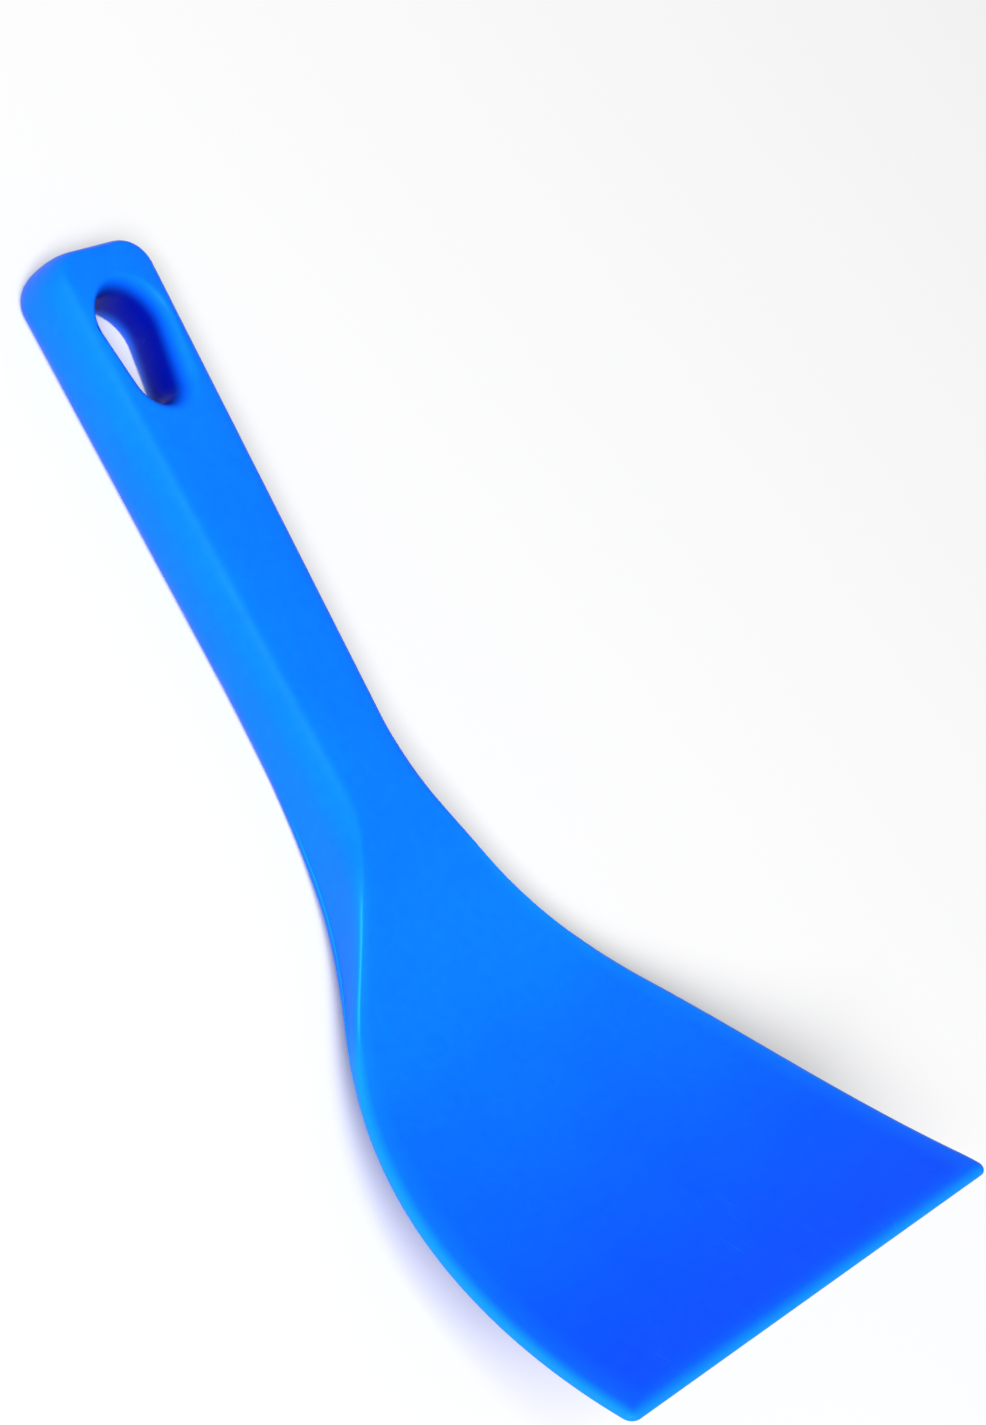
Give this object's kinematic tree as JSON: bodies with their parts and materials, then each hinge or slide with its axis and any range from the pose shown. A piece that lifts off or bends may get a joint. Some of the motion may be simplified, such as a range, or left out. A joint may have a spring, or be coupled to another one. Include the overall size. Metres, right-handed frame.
{
  "type": "windshield ice scraper",
  "caption": "Hand scraper moulded in plastic: rounded grip with a tapered hanging slot, thick neck ramping down on the thumb side, thin flexible flared blade with a straight edge.",
  "frame": {"origin": "on the surface that the handle's flat back lies on, under the middle of the tool's length and width", "axes": "+Y from the butt end to the working edge, +Z out of the thumb side, +X across the blade"},
  "size_m": [0.1098, 0.2338, 0.0575],
  "materials": {
    "moulded_plastic": "satin blue polypropylene, slightly translucent at the thin edges"
  },
  "bodies": {
    "handle": {"handle": "moulded_plastic"},
    "blade": {"blade": "moulded_plastic"}
  },
  "joints": [
    {"name": "blade_flex", "type": "hinge", "parent": "handle", "child": "blade", "pos_m": [0, 0.05115, 0.0129], "axis": [1, 0, 0], "range_deg": [-25, 15], "stiffness_Nm_per_rad": 1.8}
  ]
}
